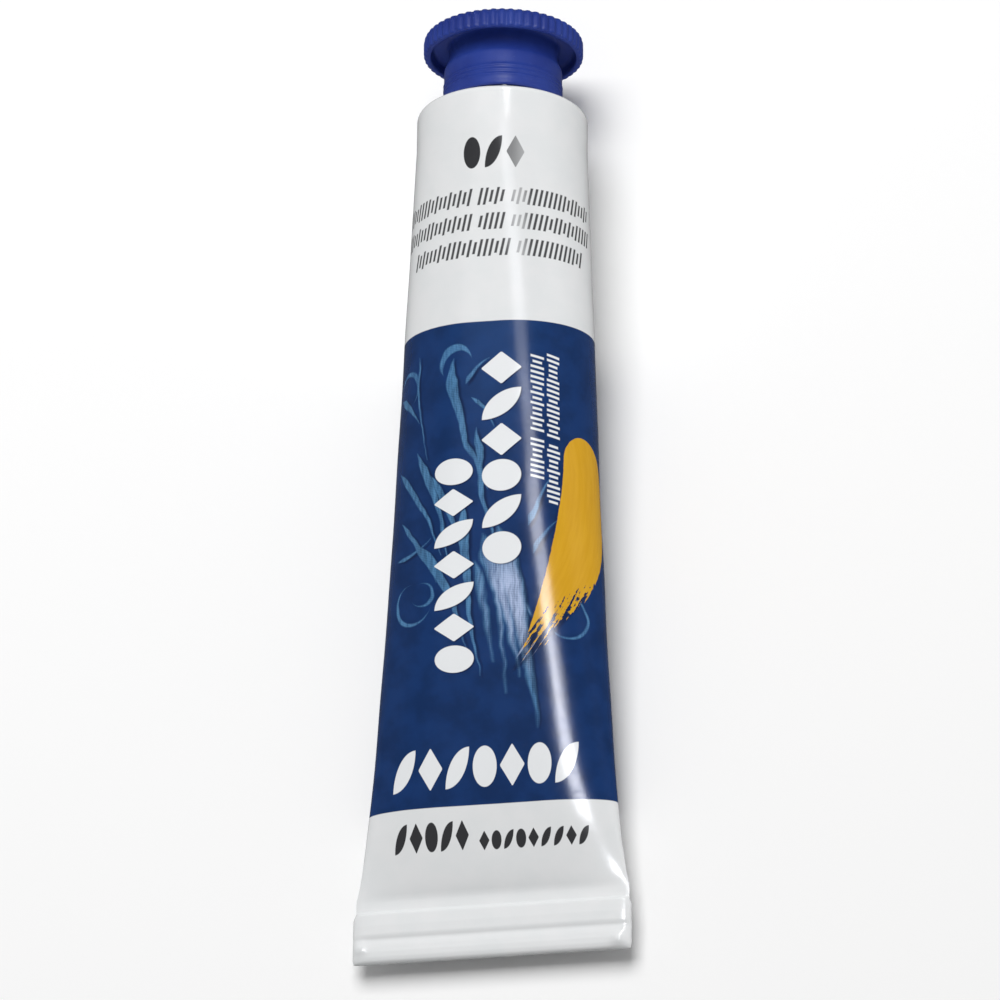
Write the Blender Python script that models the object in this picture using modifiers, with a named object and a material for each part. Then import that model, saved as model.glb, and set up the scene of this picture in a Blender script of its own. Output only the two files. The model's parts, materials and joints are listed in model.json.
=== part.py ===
"""A collapsible aluminium paint tube with its screw cap, lying on its belly on a table.

The tube is built upright in its own frame and then laid down by the empty "tube_frame". In that frame +Z
runs along the axis towards the cap, X runs along the wide flat crimp, and -Y is the printed front. Height
zero is where the round sleeve starts to flatten. Laid down, the front looks up and the cap points to +Y.
"""

import math

import bmesh
import bpy
from mathutils import Vector

MM = 0.001
GAP = 0.3 * MM

# Sleeve: round at the shoulder, flat at the crimp, with the same length of wall around it everywhere
SLEEVE_R = 9.5 * MM
SLEEVE_WALL = 0.15 * MM
FLATTEN_LENGTH = 85.7 * MM
FLATTEN_POWER = 0.61
STRAIGHT_LENGTH = 45.0 * MM
STRAIGHT_SPANS = 6
CURVED_SPANS = 8
RING_POINTS = 40

# Crimp: the sleeve's flat end folded over twice, so two soft ridges with a groove between them
CRIMP_LENGTH = 6.8 * MM
CRIMP_HALF_THICKNESS = 0.45 * MM
CRIMP_RIDGE = 0.17 * MM
CRIMP_FLARE = 0.35 * MM
CRIMP_SPANS = 8

# Shoulder, neck and nozzle
SHOULDER_Z = 4.2 * MM
SHOULDER_EDGE = 0.8 * MM
SHOULDER_SLOPE = math.radians(23.0)
SHOULDER_WALL = 0.8 * MM
NECK_ROOT_R = 3.95 * MM
NOZZLE_BORE_R = 2.6 * MM
NOZZLE_TIP_Z = 11.7 * MM
NOZZLE_CHAMFER = 0.3 * MM

# Thread between neck and cap
THREAD_PITCH = 1.5 * MM
THREAD_START_Z = 7.3 * MM
THREAD_TURNS = 2.5
THREAD_STEPS = 20
NECK_BEAD_R = 0.5 * MM
CAP_BEAD_R = 0.45 * MM

# Screw cap
CAP_SKIRT_R = 6.6 * MM
CAP_WAIST_R = 6.05 * MM
CAP_FLANGE_R = 8.93 * MM
CAP_BORE_R = 4.75 * MM
CAP_BASE_Z = 5.85 * MM
CAP_CONE_Z = 10.0 * MM
CAP_FLANGE_Z = 11.8 * MM
CAP_END_Z = 14.12 * MM
CAP_HOLLOW_Z = 13.15 * MM
CAP_HOLLOW_R = 8.1 * MM
CAP_ROOF_Z = 12.9 * MM
CAP_DISH_R = 6.2 * MM
CAP_DISH_DEPTH = 0.3 * MM
CAP_SEGMENTS = 36
RIB_COUNT = 54
RIB_DEPTH = 0.24 * MM

# Liner disc and end seal
LINER_R = 4.4 * MM
LINER_THICKNESS = 0.6 * MM
SEAL_SIZE = (22.0 * MM, 1.2 * MM, 1.2 * MM)
CAVITY_END_CLEARANCE = 4.0 * MM

WHITE_ENAMEL = (0.86, 0.87, 0.88, 1.0)
CAP_BLUE = (0.03, 0.08, 0.42, 1.0)
PAINT_WHITE = (0.93, 0.93, 0.91, 1.0)
LATEX = (0.72, 0.66, 0.48, 1.0)
LINER_WHITE = (0.88, 0.88, 0.86, 1.0)


def clear_scene():
    for obj in list(bpy.data.objects):
        bpy.data.objects.remove(obj)


def make_collection(name):
    group = bpy.data.collections.new(name)
    bpy.context.scene.collection.children.link(group)
    return group


def make_material(name, colour, roughness, metallic=0.0):
    mat = bpy.data.materials.new(name)
    mat.use_nodes = True
    shader = mat.node_tree.nodes["Principled BSDF"]
    shader.inputs["Base Color"].default_value = colour
    shader.inputs["Roughness"].default_value = roughness
    shader.inputs["Metallic"].default_value = metallic
    return mat


def add_object(name, data, group, material=None):
    obj = bpy.data.objects.new(name, data)
    group.objects.link(obj)
    if material is not None:
        data.materials.append(material)
    return obj


def shade_smooth(mesh, angle_deg=35.0):
    mesh.shade_smooth()
    mesh.set_sharp_from_angle(angle=math.radians(angle_deg))


# Sleeve sections -------------------------------------------------------------------------------------------

def curved_thickness(z):
    left = min(1.0, max(0.0, 1.0 + z / FLATTEN_LENGTH))
    return SLEEVE_R * left**FLATTEN_POWER


def half_thickness(z):
    """Half the sleeve's thickness at height z. It thins evenly at first, which gives the tube a flat to lie on,
    and then faster and faster until it meets the crimp."""
    if z > -STRAIGHT_LENGTH:
        share = max(0.0, -z / STRAIGHT_LENGTH)
        return SLEEVE_R + share * (curved_thickness(-STRAIGHT_LENGTH) - SLEEVE_R)
    return max(CRIMP_HALF_THICKNESS, curved_thickness(z))


def flat_half_width(b):
    """Half the width of the flat left over when the round sleeve is pressed to half-thickness b."""
    return 0.5 * math.pi * (SLEEVE_R - b)


def oblong(end_r, flat, z):
    """A ring of points evenly spaced around two half circles joined by flat stretches of half-width flat."""
    quarter = flat + 0.5 * math.pi * end_r
    ring = []
    for k in range(RING_POINTS):
        along = 4.0 * quarter * k / RING_POINTS
        turns, rest = divmod(along, 2.0 * quarter)
        side = 1.0 if turns < 1.0 else -1.0
        if rest <= flat:
            x, y = rest, -end_r
        elif rest >= flat + math.pi * end_r:
            x, y = 2.0 * quarter - rest, end_r
        else:
            angle = (rest - flat) / end_r
            x, y = flat + end_r * math.sin(angle), -end_r * math.cos(angle)
        ring.append(Vector((side * x, side * y, z)))
    return ring


def sleeve_ring(z, inset=0.0):
    b = half_thickness(z)
    return oblong(b - inset, flat_half_width(b), z)


def sleeve_heights(bottom):
    """Heights from the bottom up to the round end, in uneven steps below the straight part."""
    curved = bottom + STRAIGHT_LENGTH
    heights = [curved * (1.0 - (k / CURVED_SPANS) ** 1.5) - STRAIGHT_LENGTH for k in range(CURVED_SPANS)]
    heights += [-STRAIGHT_LENGTH * (1.0 - k / STRAIGHT_SPANS) for k in range(STRAIGHT_SPANS + 1)]
    return heights


def crimp_rings():
    """Rings of the folded end, from its free edge up to the crease."""
    rings = []
    half_width = CRIMP_HALF_THICKNESS + flat_half_width(CRIMP_HALF_THICKNESS)
    for k in range(CRIMP_SPANS):
        down = 1.0 - k / CRIMP_SPANS
        ridge = CRIMP_RIDGE * math.sin(math.pi * 2.0 * down) ** 2
        edge = 0.6 if k == 0 else 1.0
        flare = CRIMP_FLARE * min(1.0, 1.6 * down)
        thickness = (CRIMP_HALF_THICKNESS + ridge) * edge
        z = -FLATTEN_LENGTH - CRIMP_LENGTH * down
        rings.append(oblong(thickness, half_width + flare - thickness, z))
    return rings


def round_ring(radius, z):
    return oblong(radius, 0.0, z)


def shoulder_height(radius, offset=0.0):
    """Height of the shoulder's cone at a radius, for the outside or a wall's thickness under it."""
    rise = (SLEEVE_R - radius) * math.tan(SHOULDER_SLOPE)
    return SHOULDER_Z + rise - offset / math.cos(SHOULDER_SLOPE)


def shoulder_edge_rings(inset=0.0):
    """The rounded rim where the sleeve turns into the cone."""
    radius = SHOULDER_EDGE - inset
    centre_r = SLEEVE_R - SHOULDER_EDGE
    centre_z = shoulder_height(centre_r, SHOULDER_EDGE)
    steps = 4
    rings = []
    for k in range(steps + 1):
        turn = (math.pi / 2.0 - SHOULDER_SLOPE) * k / steps
        rings.append(round_ring(centre_r + radius * math.cos(turn), centre_z + radius * math.sin(turn)))
    return rings


def outer_rings():
    rings = crimp_rings()
    rings += [sleeve_ring(z) for z in sleeve_heights(-FLATTEN_LENGTH)]
    rings += shoulder_edge_rings()
    rings.append(round_ring(NECK_ROOT_R, shoulder_height(NECK_ROOT_R)))
    rings.append(round_ring(NECK_ROOT_R, NOZZLE_TIP_Z - NOZZLE_CHAMFER))
    rings.append(round_ring(NECK_ROOT_R - NOZZLE_CHAMFER, NOZZLE_TIP_Z))
    return rings


def cavity_rings(inset, bottom, top, bore_r, shoulder_wall):
    """Rings of the space inside the shell, from its bottom up to the nozzle."""
    rings = [sleeve_ring(z, inset) for z in sleeve_heights(bottom)]
    rings.append(round_ring(SLEEVE_R - inset, shoulder_height(SLEEVE_R - inset, shoulder_wall)))
    rings.append(round_ring(bore_r, shoulder_height(bore_r, shoulder_wall)))
    rings.append(round_ring(bore_r, top))
    return rings


def loft(name, rings, close_bottom=True, close_top=True):
    """A closed skin through rings that go up. Rings that later come down again make a hollow."""
    bm = bmesh.new()
    rows = [[bm.verts.new(p) for p in ring] for ring in rings]
    for low, high in zip(rows, rows[1:]):
        count = len(low)
        for k in range(count):
            n = (k + 1) % count
            bm.faces.new((low[k], low[n], high[n], high[k]))
    if close_bottom:
        bm.faces.new(list(reversed(rows[0])))
    if close_top:
        bm.faces.new(rows[-1])
    mesh = bpy.data.meshes.new(name)
    bm.normal_update()
    bm.to_mesh(mesh)
    bm.free()
    return mesh


# Threads ---------------------------------------------------------------------------------------------------

def thread_bead(name, radius, bead_r, start_z, start_angle, group):
    """A round ridge along a helix, thinning out to nothing at both ends."""
    curve = bpy.data.curves.new(name, "CURVE")
    curve.dimensions = "3D"
    curve.bevel_depth = bead_r
    curve.bevel_resolution = 1
    curve.use_fill_caps = True
    curve.twist_mode = "Z_UP"
    spline = curve.splines.new("POLY")
    count = int(THREAD_TURNS * THREAD_STEPS)
    spline.points.add(count)
    for k, point in enumerate(spline.points):
        angle = start_angle + k * math.tau / THREAD_STEPS
        z = start_z + k * THREAD_PITCH / THREAD_STEPS
        point.co = (radius * math.cos(angle), radius * math.sin(angle), z, 1.0)
        point.radius = min(1.0, 0.3 + 0.2 * min(k, count - k))
    guide = add_object(name + "_curve", curve, group)
    return curve_to_mesh(guide, name, group)


def curve_to_mesh(guide, name, group):
    bpy.context.view_layer.update()
    evaluated = guide.evaluated_get(bpy.context.evaluated_depsgraph_get())
    mesh = bpy.data.meshes.new_from_object(evaluated)
    bm = bmesh.new()
    bm.from_mesh(mesh)
    bmesh.ops.remove_doubles(bm, verts=bm.verts, dist=0.001 * MM)
    bmesh.ops.recalc_face_normals(bm, faces=bm.faces)
    bm.to_mesh(mesh)
    bm.free()
    solid = add_object(name, mesh, group)
    solid.matrix_world = guide.matrix_world
    bpy.data.objects.remove(guide)
    return hide_cutter(solid)


def hide_cutter(obj):
    obj.hide_render = True
    obj.display_type = "WIRE"
    return obj


def join_to(target, other):
    union = target.modifiers.new("join_" + other.name, "BOOLEAN")
    union.operation = "UNION"
    union.solver = "EXACT"
    union.object = other


# Pieces ----------------------------------------------------------------------------------------------------

def tube_shell(parts, cutters):
    """Sleeve, shoulder, threaded neck and folded crimp: one extruded skin, open only at the nozzle."""
    bottom = -FLATTEN_LENGTH + CAVITY_END_CLEARANCE
    inside = cavity_rings(SLEEVE_WALL, bottom, NOZZLE_TIP_Z, NOZZLE_BORE_R, SHOULDER_WALL)
    rings = outer_rings() + list(reversed(inside))
    mesh = loft("tube_shell", rings, close_bottom=True, close_top=True)
    shell = add_object("tube_shell", mesh, parts, make_material("white_enamel", WHITE_ENAMEL, 0.22))
    join_to(shell, thread_bead("neck_thread", NECK_ROOT_R, NECK_BEAD_R, THREAD_START_Z, 0.0, cutters))
    shade_smooth(mesh)
    return shell


def paint(parts):
    """The charge of paint: the shell's inside less a gap all round, up to just under the nozzle's mouth."""
    bottom = -FLATTEN_LENGTH + CAVITY_END_CLEARANCE + GAP + SEAL_SIZE[2] + GAP
    top, radius = NOZZLE_TIP_Z - GAP, NOZZLE_BORE_R - GAP
    mesh = loft("paint", cavity_rings(SLEEVE_WALL + GAP, bottom, top, radius, SHOULDER_WALL + GAP))
    shade_smooth(mesh)
    return add_object("paint", mesh, parts, make_material("paint_white", PAINT_WHITE, 0.3))


def end_seal(parts):
    """Latex band pressed flat inside the sleeve, right above the fold."""
    bm = bmesh.new()
    bmesh.ops.create_cube(bm, size=1.0)
    bmesh.ops.scale(bm, vec=Vector(SEAL_SIZE), verts=bm.verts)
    mesh = bpy.data.meshes.new("end_seal")
    bm.to_mesh(mesh)
    bm.free()
    seal = add_object("end_seal", mesh, parts, make_material("latex", LATEX, 0.6))
    seal.location.z = -FLATTEN_LENGTH + CAVITY_END_CLEARANCE + GAP + 0.5 * SEAL_SIZE[2]
    edge = seal.modifiers.new("soft_edges", "BEVEL")
    edge.width = 0.3 * MM
    edge.segments = 2
    return seal


def cap_profile():
    """Half section of the cap as (radius, height), from the end face's centre round to the roof's centre."""
    core_r = CAP_FLANGE_R - 2.0 * RIB_DEPTH
    chamfer = 0.35 * MM
    return [
        (0.0, CAP_END_Z - CAP_DISH_DEPTH),
        (CAP_DISH_R, CAP_END_Z - CAP_DISH_DEPTH),
        (CAP_DISH_R + 0.25 * MM, CAP_END_Z),
        (core_r - chamfer, CAP_END_Z),
        (core_r, CAP_END_Z - chamfer),
        (core_r, CAP_FLANGE_Z + 0.15 * MM),
        (core_r - 0.15 * MM, CAP_FLANGE_Z),
        (CAP_HOLLOW_R, CAP_FLANGE_Z),
        (CAP_HOLLOW_R - 0.1 * MM, CAP_HOLLOW_Z),
        (CAP_WAIST_R + 0.2 * MM, CAP_HOLLOW_Z),
        (CAP_WAIST_R, CAP_HOLLOW_Z - 0.4 * MM),
        (CAP_WAIST_R + 0.05 * MM, CAP_FLANGE_Z - 0.4 * MM),
        (CAP_WAIST_R + 0.25 * MM, CAP_FLANGE_Z - 1.2 * MM),
        (CAP_SKIRT_R, CAP_CONE_Z),
        (CAP_SKIRT_R, CAP_BASE_Z + 0.15 * MM),
        (CAP_SKIRT_R - 0.15 * MM, CAP_BASE_Z),
        (CAP_SKIRT_R - 0.35 * MM, CAP_BASE_Z),
        (CAP_BORE_R, CAP_BASE_Z + (CAP_SKIRT_R - 0.35 * MM - CAP_BORE_R) * math.tan(SHOULDER_SLOPE)),
        (CAP_BORE_R, CAP_ROOF_Z),
        (0.0, CAP_ROOF_Z),
    ]


def turned(name, profile, segments, group, material=None):
    """A solid of revolution about the local Z axis, with its outline swept once round by a Screw modifier."""
    mesh = bpy.data.meshes.new(name)
    mesh.from_pydata([(r, 0.0, z) for r, z in profile], [(k, k + 1) for k in range(len(profile) - 1)], [])
    obj = add_object(name, mesh, group, material)
    screw = obj.modifiers.new("turn", "SCREW")
    screw.axis = "Z"
    screw.angle = math.tau
    screw.steps = segments
    screw.render_steps = segments
    screw.use_merge_vertices = True
    screw.merge_threshold = 0.00001
    screw.use_smooth_shade = True
    return obj


def ribbed_rim(cutters):
    """The flange's grip: a ring whose outside is a run of small pointed ribs."""
    inner_r = CAP_FLANGE_R - 4.0 * RIB_DEPTH
    low, high = CAP_FLANGE_Z + 0.12 * MM, CAP_END_Z - 0.3 * MM
    outer = []
    inner = []
    for k in range(2 * RIB_COUNT):
        angle = k * math.tau / (2 * RIB_COUNT)
        radius = CAP_FLANGE_R - (RIB_DEPTH if k % 2 else 0.0)
        outer.append((radius * math.cos(angle), radius * math.sin(angle)))
        inner.append((inner_r * math.cos(angle), inner_r * math.sin(angle)))
    rings = [
        [Vector((x, y, low)) for x, y in inner],
        [Vector((x, y, low)) for x, y in outer],
        [Vector((x, y, high)) for x, y in outer],
        [Vector((x, y, high)) for x, y in inner],
    ]
    mesh = loft("rim_ribs", rings + rings[:1], close_bottom=False, close_top=False)
    bm = bmesh.new()
    bm.from_mesh(mesh)
    bmesh.ops.remove_doubles(bm, verts=bm.verts, dist=0.001 * MM)
    bm.to_mesh(mesh)
    bm.free()
    return hide_cutter(add_object("rim_ribs", mesh, cutters))


def screw_cap(parts, cutters):
    blue = make_material("cap_blue", CAP_BLUE, 0.28)
    cap = turned("screw_cap", cap_profile(), CAP_SEGMENTS, parts, blue)
    join_to(cap, ribbed_rim(cutters))
    half_turn = math.pi
    join_to(cap, thread_bead("cap_thread", CAP_BORE_R, CAP_BEAD_R, THREAD_START_Z, half_turn, cutters))
    return cap


def cap_liner(parts):
    """Soft disc in the top of the cap that closes on the nozzle's mouth."""
    bottom = NOZZLE_TIP_Z + GAP
    profile = [
        (0.0, bottom + LINER_THICKNESS),
        (LINER_R, bottom + LINER_THICKNESS),
        (LINER_R, bottom),
        (0.0, bottom),
    ]
    return turned("cap_liner", profile, 36, parts, make_material("liner_white", LINER_WHITE, 0.5))


def world_box(objects):
    bpy.context.view_layer.update()
    graph = bpy.context.evaluated_depsgraph_get()
    points = []
    for obj in objects:
        evaluated = obj.evaluated_get(graph)
        points += [evaluated.matrix_world @ v.co for v in evaluated.data.vertices]
    low = Vector([min(p[i] for p in points) for i in range(3)])
    high = Vector([max(p[i] for p in points) for i in range(3)])
    return low, high


def rest_tilt():
    """How far the nose is raised at rest: the slope of the straight part, which the full tube lies on."""
    return math.atan2(SLEEVE_R - half_thickness(-STRAIGHT_LENGTH), STRAIGHT_LENGTH)


def lay_down(frame, objects):
    """Turns the tube onto its belly and moves the centre of its box's base to the origin."""
    frame.rotation_euler = (rest_tilt() - math.pi / 2.0, 0.0, 0.0)
    low, high = world_box(objects)
    frame.location = (-0.5 * (low.x + high.x), -0.5 * (low.y + high.y), -low.z)
    bpy.context.view_layer.update()


def main():
    clear_scene()
    parts = make_collection("paint_tube")
    cutters = make_collection("cutters")
    shell = tube_shell(parts, cutters)
    cap = screw_cap(parts, cutters)
    pieces = [shell, paint(parts), end_seal(parts), cap, cap_liner(parts)]
    frame = bpy.data.objects.new("tube_frame", None)
    parts.objects.link(frame)
    for obj in pieces + list(cutters.objects):
        obj.parent = frame
    lay_down(frame, pieces)


main()
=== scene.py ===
import json
import math

import bmesh
import bpy
import numpy as np
from mathutils import Matrix, Vector

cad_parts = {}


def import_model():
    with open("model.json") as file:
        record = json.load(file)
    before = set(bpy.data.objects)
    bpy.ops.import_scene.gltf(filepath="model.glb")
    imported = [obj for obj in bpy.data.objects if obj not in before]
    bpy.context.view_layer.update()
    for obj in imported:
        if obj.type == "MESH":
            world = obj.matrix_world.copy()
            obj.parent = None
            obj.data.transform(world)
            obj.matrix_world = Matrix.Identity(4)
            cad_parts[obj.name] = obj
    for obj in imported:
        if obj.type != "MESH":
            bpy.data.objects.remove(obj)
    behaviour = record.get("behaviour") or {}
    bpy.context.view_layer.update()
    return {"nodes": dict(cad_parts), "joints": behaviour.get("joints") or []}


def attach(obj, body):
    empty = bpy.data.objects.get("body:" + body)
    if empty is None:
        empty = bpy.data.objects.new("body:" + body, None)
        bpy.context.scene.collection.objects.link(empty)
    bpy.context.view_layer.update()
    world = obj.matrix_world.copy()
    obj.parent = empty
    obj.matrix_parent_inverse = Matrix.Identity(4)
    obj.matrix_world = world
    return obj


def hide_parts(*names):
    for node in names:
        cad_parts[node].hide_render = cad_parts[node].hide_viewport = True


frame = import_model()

# The tube's own frame: x to the right across the flat end, y along the axis towards the cap, z out of the
# printed front, with its origin on the axis where the sleeve starts to flatten. Sizes below are millimetres.
MM = 0.001
TURN = next(j for j in frame["joints"] if j["name"] == "cap_turn")
ORIGIN = Vector(TURN["pos_m"])
AXIS = Vector(TURN["axis"]).normalized()
ACROSS = Vector((1.0, 0.0, 0.0))
FACE = ACROSS.cross(AXIS)
TUBE = Matrix.Translation(ORIGIN) @ Matrix((ACROSS, AXIS, FACE)).transposed().to_4x4()

# Sleeve. Distances s run down from the origin towards the crimp, and u runs round the sleeve from its front.
# The sleeve thins evenly as far as STRAIGHT, and then by a power of the distance that is left to FLATTEN. A
# section's spare width goes partly into flat faces and partly into longer round ends, by SECTION_BLEND. The
# folded end lies between CREASE and END.
R = 9.5
ROUND = 2.0 * math.pi * R
FLATTEN = 85.7
POWER = 0.61
STRAIGHT = 45.0
SECTION_BLEND = 0.464
SECTION_POINTS = 420
FOIL = 0.3
WALL = 0.15
CREASE = FLATTEN + 1.1
END = FLATTEN + 6.8
CRIMP_X = 14.72
CRIMP_FLARE = 0.3
SKEW = 0.021
COLUMNS = 216
FRONT = COLUMNS // 2

# Shoulder, neck, thread and the hollow inside
RIM_Y = 4.2
RIM_R = 0.8
RIM_STEPS = 10
SLOPE = math.radians(23.0)
SHOULDER_WALL = 0.8
NECK_R = 3.95
BORE_R = 2.6
TIP_Y = 11.7
PITCH = 1.5
THREAD_Y = 7.3
THREAD_TURNS = 2.5
CAVITY_END = 4.0
GAP = 0.3


def smooth(low, high, value):
    """0 up to low and 1 from high on, with a smooth rise between them."""
    t = np.clip((value - low) / (high - low), 0.0, 1.0)
    return t * t * (3.0 - 2.0 * t)


def thickness(s):
    """Half the sleeve's thickness at s."""
    if s <= 0.0:
        return R
    if s < STRAIGHT:
        return R + s / STRAIGHT * (R * (1.0 - STRAIGHT / FLATTEN) ** POWER - R)
    curved = R * max(0.0, 1.0 - s / FLATTEN) ** POWER
    return (curved**4 + FOIL**4) ** 0.25


# Heights of the folded end above its middle plane, front and back, at distances below the crease: two soft
# bands with a groove between them in front, and one fold lying on the other behind
FOLD_S = [0.0, 0.1, 0.24, 0.5, 1.6, 2.6, 2.85, 3.05, 3.3, 3.6, 3.9, 4.5, 5.1, 5.45, 5.62, 5.7]
FOLD_FRONT = [0.3, 0.46, 0.57, 0.61, 0.65, 0.62, 0.56, 0.49, 0.49, 0.56, 0.61, 0.66, 0.63, 0.53, 0.4, 0.24]
FOLD_BACK = [0.3, 0.5, 0.66, 0.7, 0.68, 0.66, 0.64, 0.6, 0.46, 0.42, 0.45, 0.5, 0.5, 0.44, 0.34, 0.2]


def quarter(s, inset, back):
    """Points from the middle of the front or back to the side, evenly spaced along the wall."""
    below = s - CREASE
    b = thickness(s)
    spread = 0.5 * math.pi * (R - b)
    flat, end = (1.0 - SECTION_BLEND) * spread, b + SECTION_BLEND * spread
    widest = flat + end
    if below > 0.0:
        flare = smooth(0.0, 0.9, below) * (1.0 - 0.35 * smooth(5.2, 5.7, below))
        widest += (CRIMP_X + CRIMP_FLARE - widest) * flare
    widest -= inset
    x = widest * (1.0 - (1.0 - np.linspace(0.0, 1.0, SECTION_POINTS)) ** 3)
    share = x / widest
    tall = b - inset
    beyond = np.clip((x - flat) / max(widest - flat, 1e-6), 0.0, 1.0)
    # A tube with flat faces turns into a lens near the end, and below the crease into the folded slab.
    tubular = tall * np.sqrt(1.0 - beyond**2)
    lens = tall * (1.0 - share**2.6)
    height = np.interp(below, FOLD_S, FOLD_BACK if back else FOLD_FRONT)
    slab = height * (1.0 - share**24) ** 0.5
    to_lens = 0.5 * smooth(FLATTEN - 8.0, FLATTEN - 0.5, s)
    to_slab = smooth(-0.15, 0.3, below)
    z = (tubular * (1.0 - to_lens) + lens * to_lens) * (1.0 - to_slab) + slab * to_slab
    arc = np.concatenate([[0.0], np.cumsum(np.hypot(np.diff(x), np.diff(z)))])
    at = np.linspace(0.0, arc[-1], COLUMNS // 4 + 1)
    return np.interp(at, arc, x), np.interp(at, arc, z)


def sleeve_row(s, inset=0.0):
    """One row of points round the sleeve, from the middle of the back over the left side and the front."""
    fx, fz = quarter(s, inset, False)
    bx, bz = quarter(s, inset, True)
    q = COLUMNS // 4
    right_x = np.concatenate([fx, bx[q - 1 :: -1]])
    right_z = np.concatenate([fz, -bz[q - 1 :: -1]])
    x = np.concatenate([-right_x[:0:-1], right_x[:-1]])
    z = np.concatenate([right_z[:0:-1], right_z[:-1]])
    slant = SKEW * smooth(FLATTEN - 30.0, FLATTEN - 2.0, s)
    y = -(s - slant * x)
    return np.stack([x, np.broadcast_to(y, x.shape), z], axis=1)


# Bulges at the folded end's lower corners, as (x, distance below the crease)
BULGES = ((-14.2, 4.1), (13.7, 4.8))
BULGE_SIZE = 0.7
BULGE_HEIGHT = 0.3


def corner_bulges(row, s):
    """Raises the folded end's front a little at both lower corners, where the fold's layers bunch up."""
    out = row.copy()
    for x, below in BULGES:
        away = ((row[:, 0] - x) / BULGE_SIZE) ** 2 + ((s - CREASE - below) / BULGE_SIZE) ** 2
        out[:, 2] += BULGE_HEIGHT * np.exp(-away) * (row[:, 2] > 0.0)
    return out


def dent(row, s):
    """Pushes a row in and out by hundredths of a millimetre, as thin metal that has been handled."""
    # Three slow waves over s and u add up to dents without a pattern. They fade out towards both ends.
    u = (np.arange(COLUMNS) - FRONT) * ROUND / COLUMNS
    window = smooth(4.0, 26.0, s) * (1.0 - smooth(FLATTEN - 6.0, FLATTEN - 1.0, s))
    wave = 0.030 * np.sin(0.19 * s + 0.9) * np.cos(0.30 * u - 0.4)
    wave += 0.022 * np.sin(0.43 * s + 0.21 * u + 2.0) + 0.016 * np.sin(0.31 * s - 0.52 * u + 0.7)
    size = np.hypot(row[:, 0], row[:, 2])[:, None] + 1e-9
    out = row.copy()
    out[:, [0, 2]] += row[:, [0, 2]] / size * (wave * window)[:, None]
    return out


ANGLES = (np.arange(COLUMNS) - FRONT) * 2.0 * math.pi / COLUMNS


def circle(radius, y, angles=ANGLES):
    """One row of points round the axis at a height. radius is one number or one for each angle."""
    radius = np.broadcast_to(radius, angles.shape)
    return np.stack([radius * np.sin(angles), np.full(angles.shape, y), radius * np.cos(angles)], axis=1)


def thread(angles, y, start_angle, height, width):
    """How far a right-hand thread's ridge stands out at each angle, at one height."""
    turns = (y - THREAD_Y) / PITCH
    lap = (angles - start_angle) / (2.0 * math.pi)
    along = lap + np.round(turns - lap)
    window = smooth(-0.05, 0.2, along) * (1.0 - smooth(THREAD_TURNS - 0.2, THREAD_TURNS + 0.05, along))
    return height * window * np.exp(-(((turns - along) * PITCH / width) ** 4))


def cone_y(radius, drop=0.0):
    """Height of the conical shoulder at a radius, or of the surface that lies a depth under it."""
    return RIM_Y + (R - radius) * math.tan(SLOPE) - drop / math.cos(SLOPE)


# Meshes -------------------------------------------------------------------------------------------

# Material numbers of the tube's skin, the length of sleeve that its map's unit stands for, and the place on
# the map of all that lies beyond the label
ENAMEL, BARE = 0, 1
MAP_LENGTH = 100.0
OFF_LABEL = -20.0


class Skin:
    """Rows of points in the tube's frame that become one closed mesh. Each has a material and a map place."""

    def __init__(self):
        self.rows, self.maps, self.mats = [], [], []

    def add(self, row, map_s=0.0, mat=0):
        """Adds a row. mat is the material of the faces between it and the row before."""
        self.rows.append(row)
        self.maps.append(map_s)
        self.mats.append(mat)

    def build(self, name, first="fold", last="fold", last_mat=0):
        """Makes the object. A fan of faces to the middle closes an end row, or it is folded shut."""
        bm = bmesh.new()
        layer = bm.loops.layers.uv.new("place")
        rows = [[bm.verts.new(TUBE @ (Vector(p) * MM)) for p in row] for row in self.rows]
        count = len(rows[0])

        def face(corners, mat):
            f = bm.faces.new([c[0] for c in corners])
            f.material_index = mat
            f.smooth = True
            for loop, (_, u, s) in zip(f.loops, corners):
                loop[layer].uv = (u / count, s / MAP_LENGTH)

        for i in range(1, len(rows)):
            low, high = rows[i - 1], rows[i]
            for k in range(count):
                n = (k + 1) % count
                a, b = self.maps[i - 1], self.maps[i]
                corners = [(low[k], k, a), (low[n], k + 1, a), (high[n], k + 1, b), (high[k], k, b)]
                face(corners, self.mats[i])
        closings = ((rows[0], first, self.mats[0], self.maps[0]), (rows[-1], last, last_mat, self.maps[-1]))
        for row, how, mat, s in closings:
            if how == "fan":
                middle = bm.verts.new(sum((v.co for v in row), Vector()) / count)
                for k in range(count):
                    face([(row[k], k, s), (row[(k + 1) % count], k + 1, s), (middle, k, s)], mat)
            else:
                half = count // 2
                for k in range(half):
                    left, right = row[(count - k) % count], row[(count - k - 1) % count]
                    corners = [(row[k], k, s), (row[k + 1], k + 1, s), (right, k + 1, s), (left, k, s)]
                    unique = [c for i, c in enumerate(corners) if c[0] not in [d[0] for d in corners[:i]]]
                    if len(unique) > 2:
                        face(unique, mat)
        bmesh.ops.recalc_face_normals(bm, faces=bm.faces)
        mesh = bpy.data.meshes.new(name)
        bm.to_mesh(mesh)
        bm.free()
        obj = bpy.data.objects.new(name, mesh)
        bpy.context.scene.collection.objects.link(obj)
        return obj


def sharpen(obj, degrees):
    """Keeps the edges that turn by more than an angle sharp in smooth shading."""
    obj.data.set_sharp_from_angle(angle=math.radians(degrees))


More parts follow.
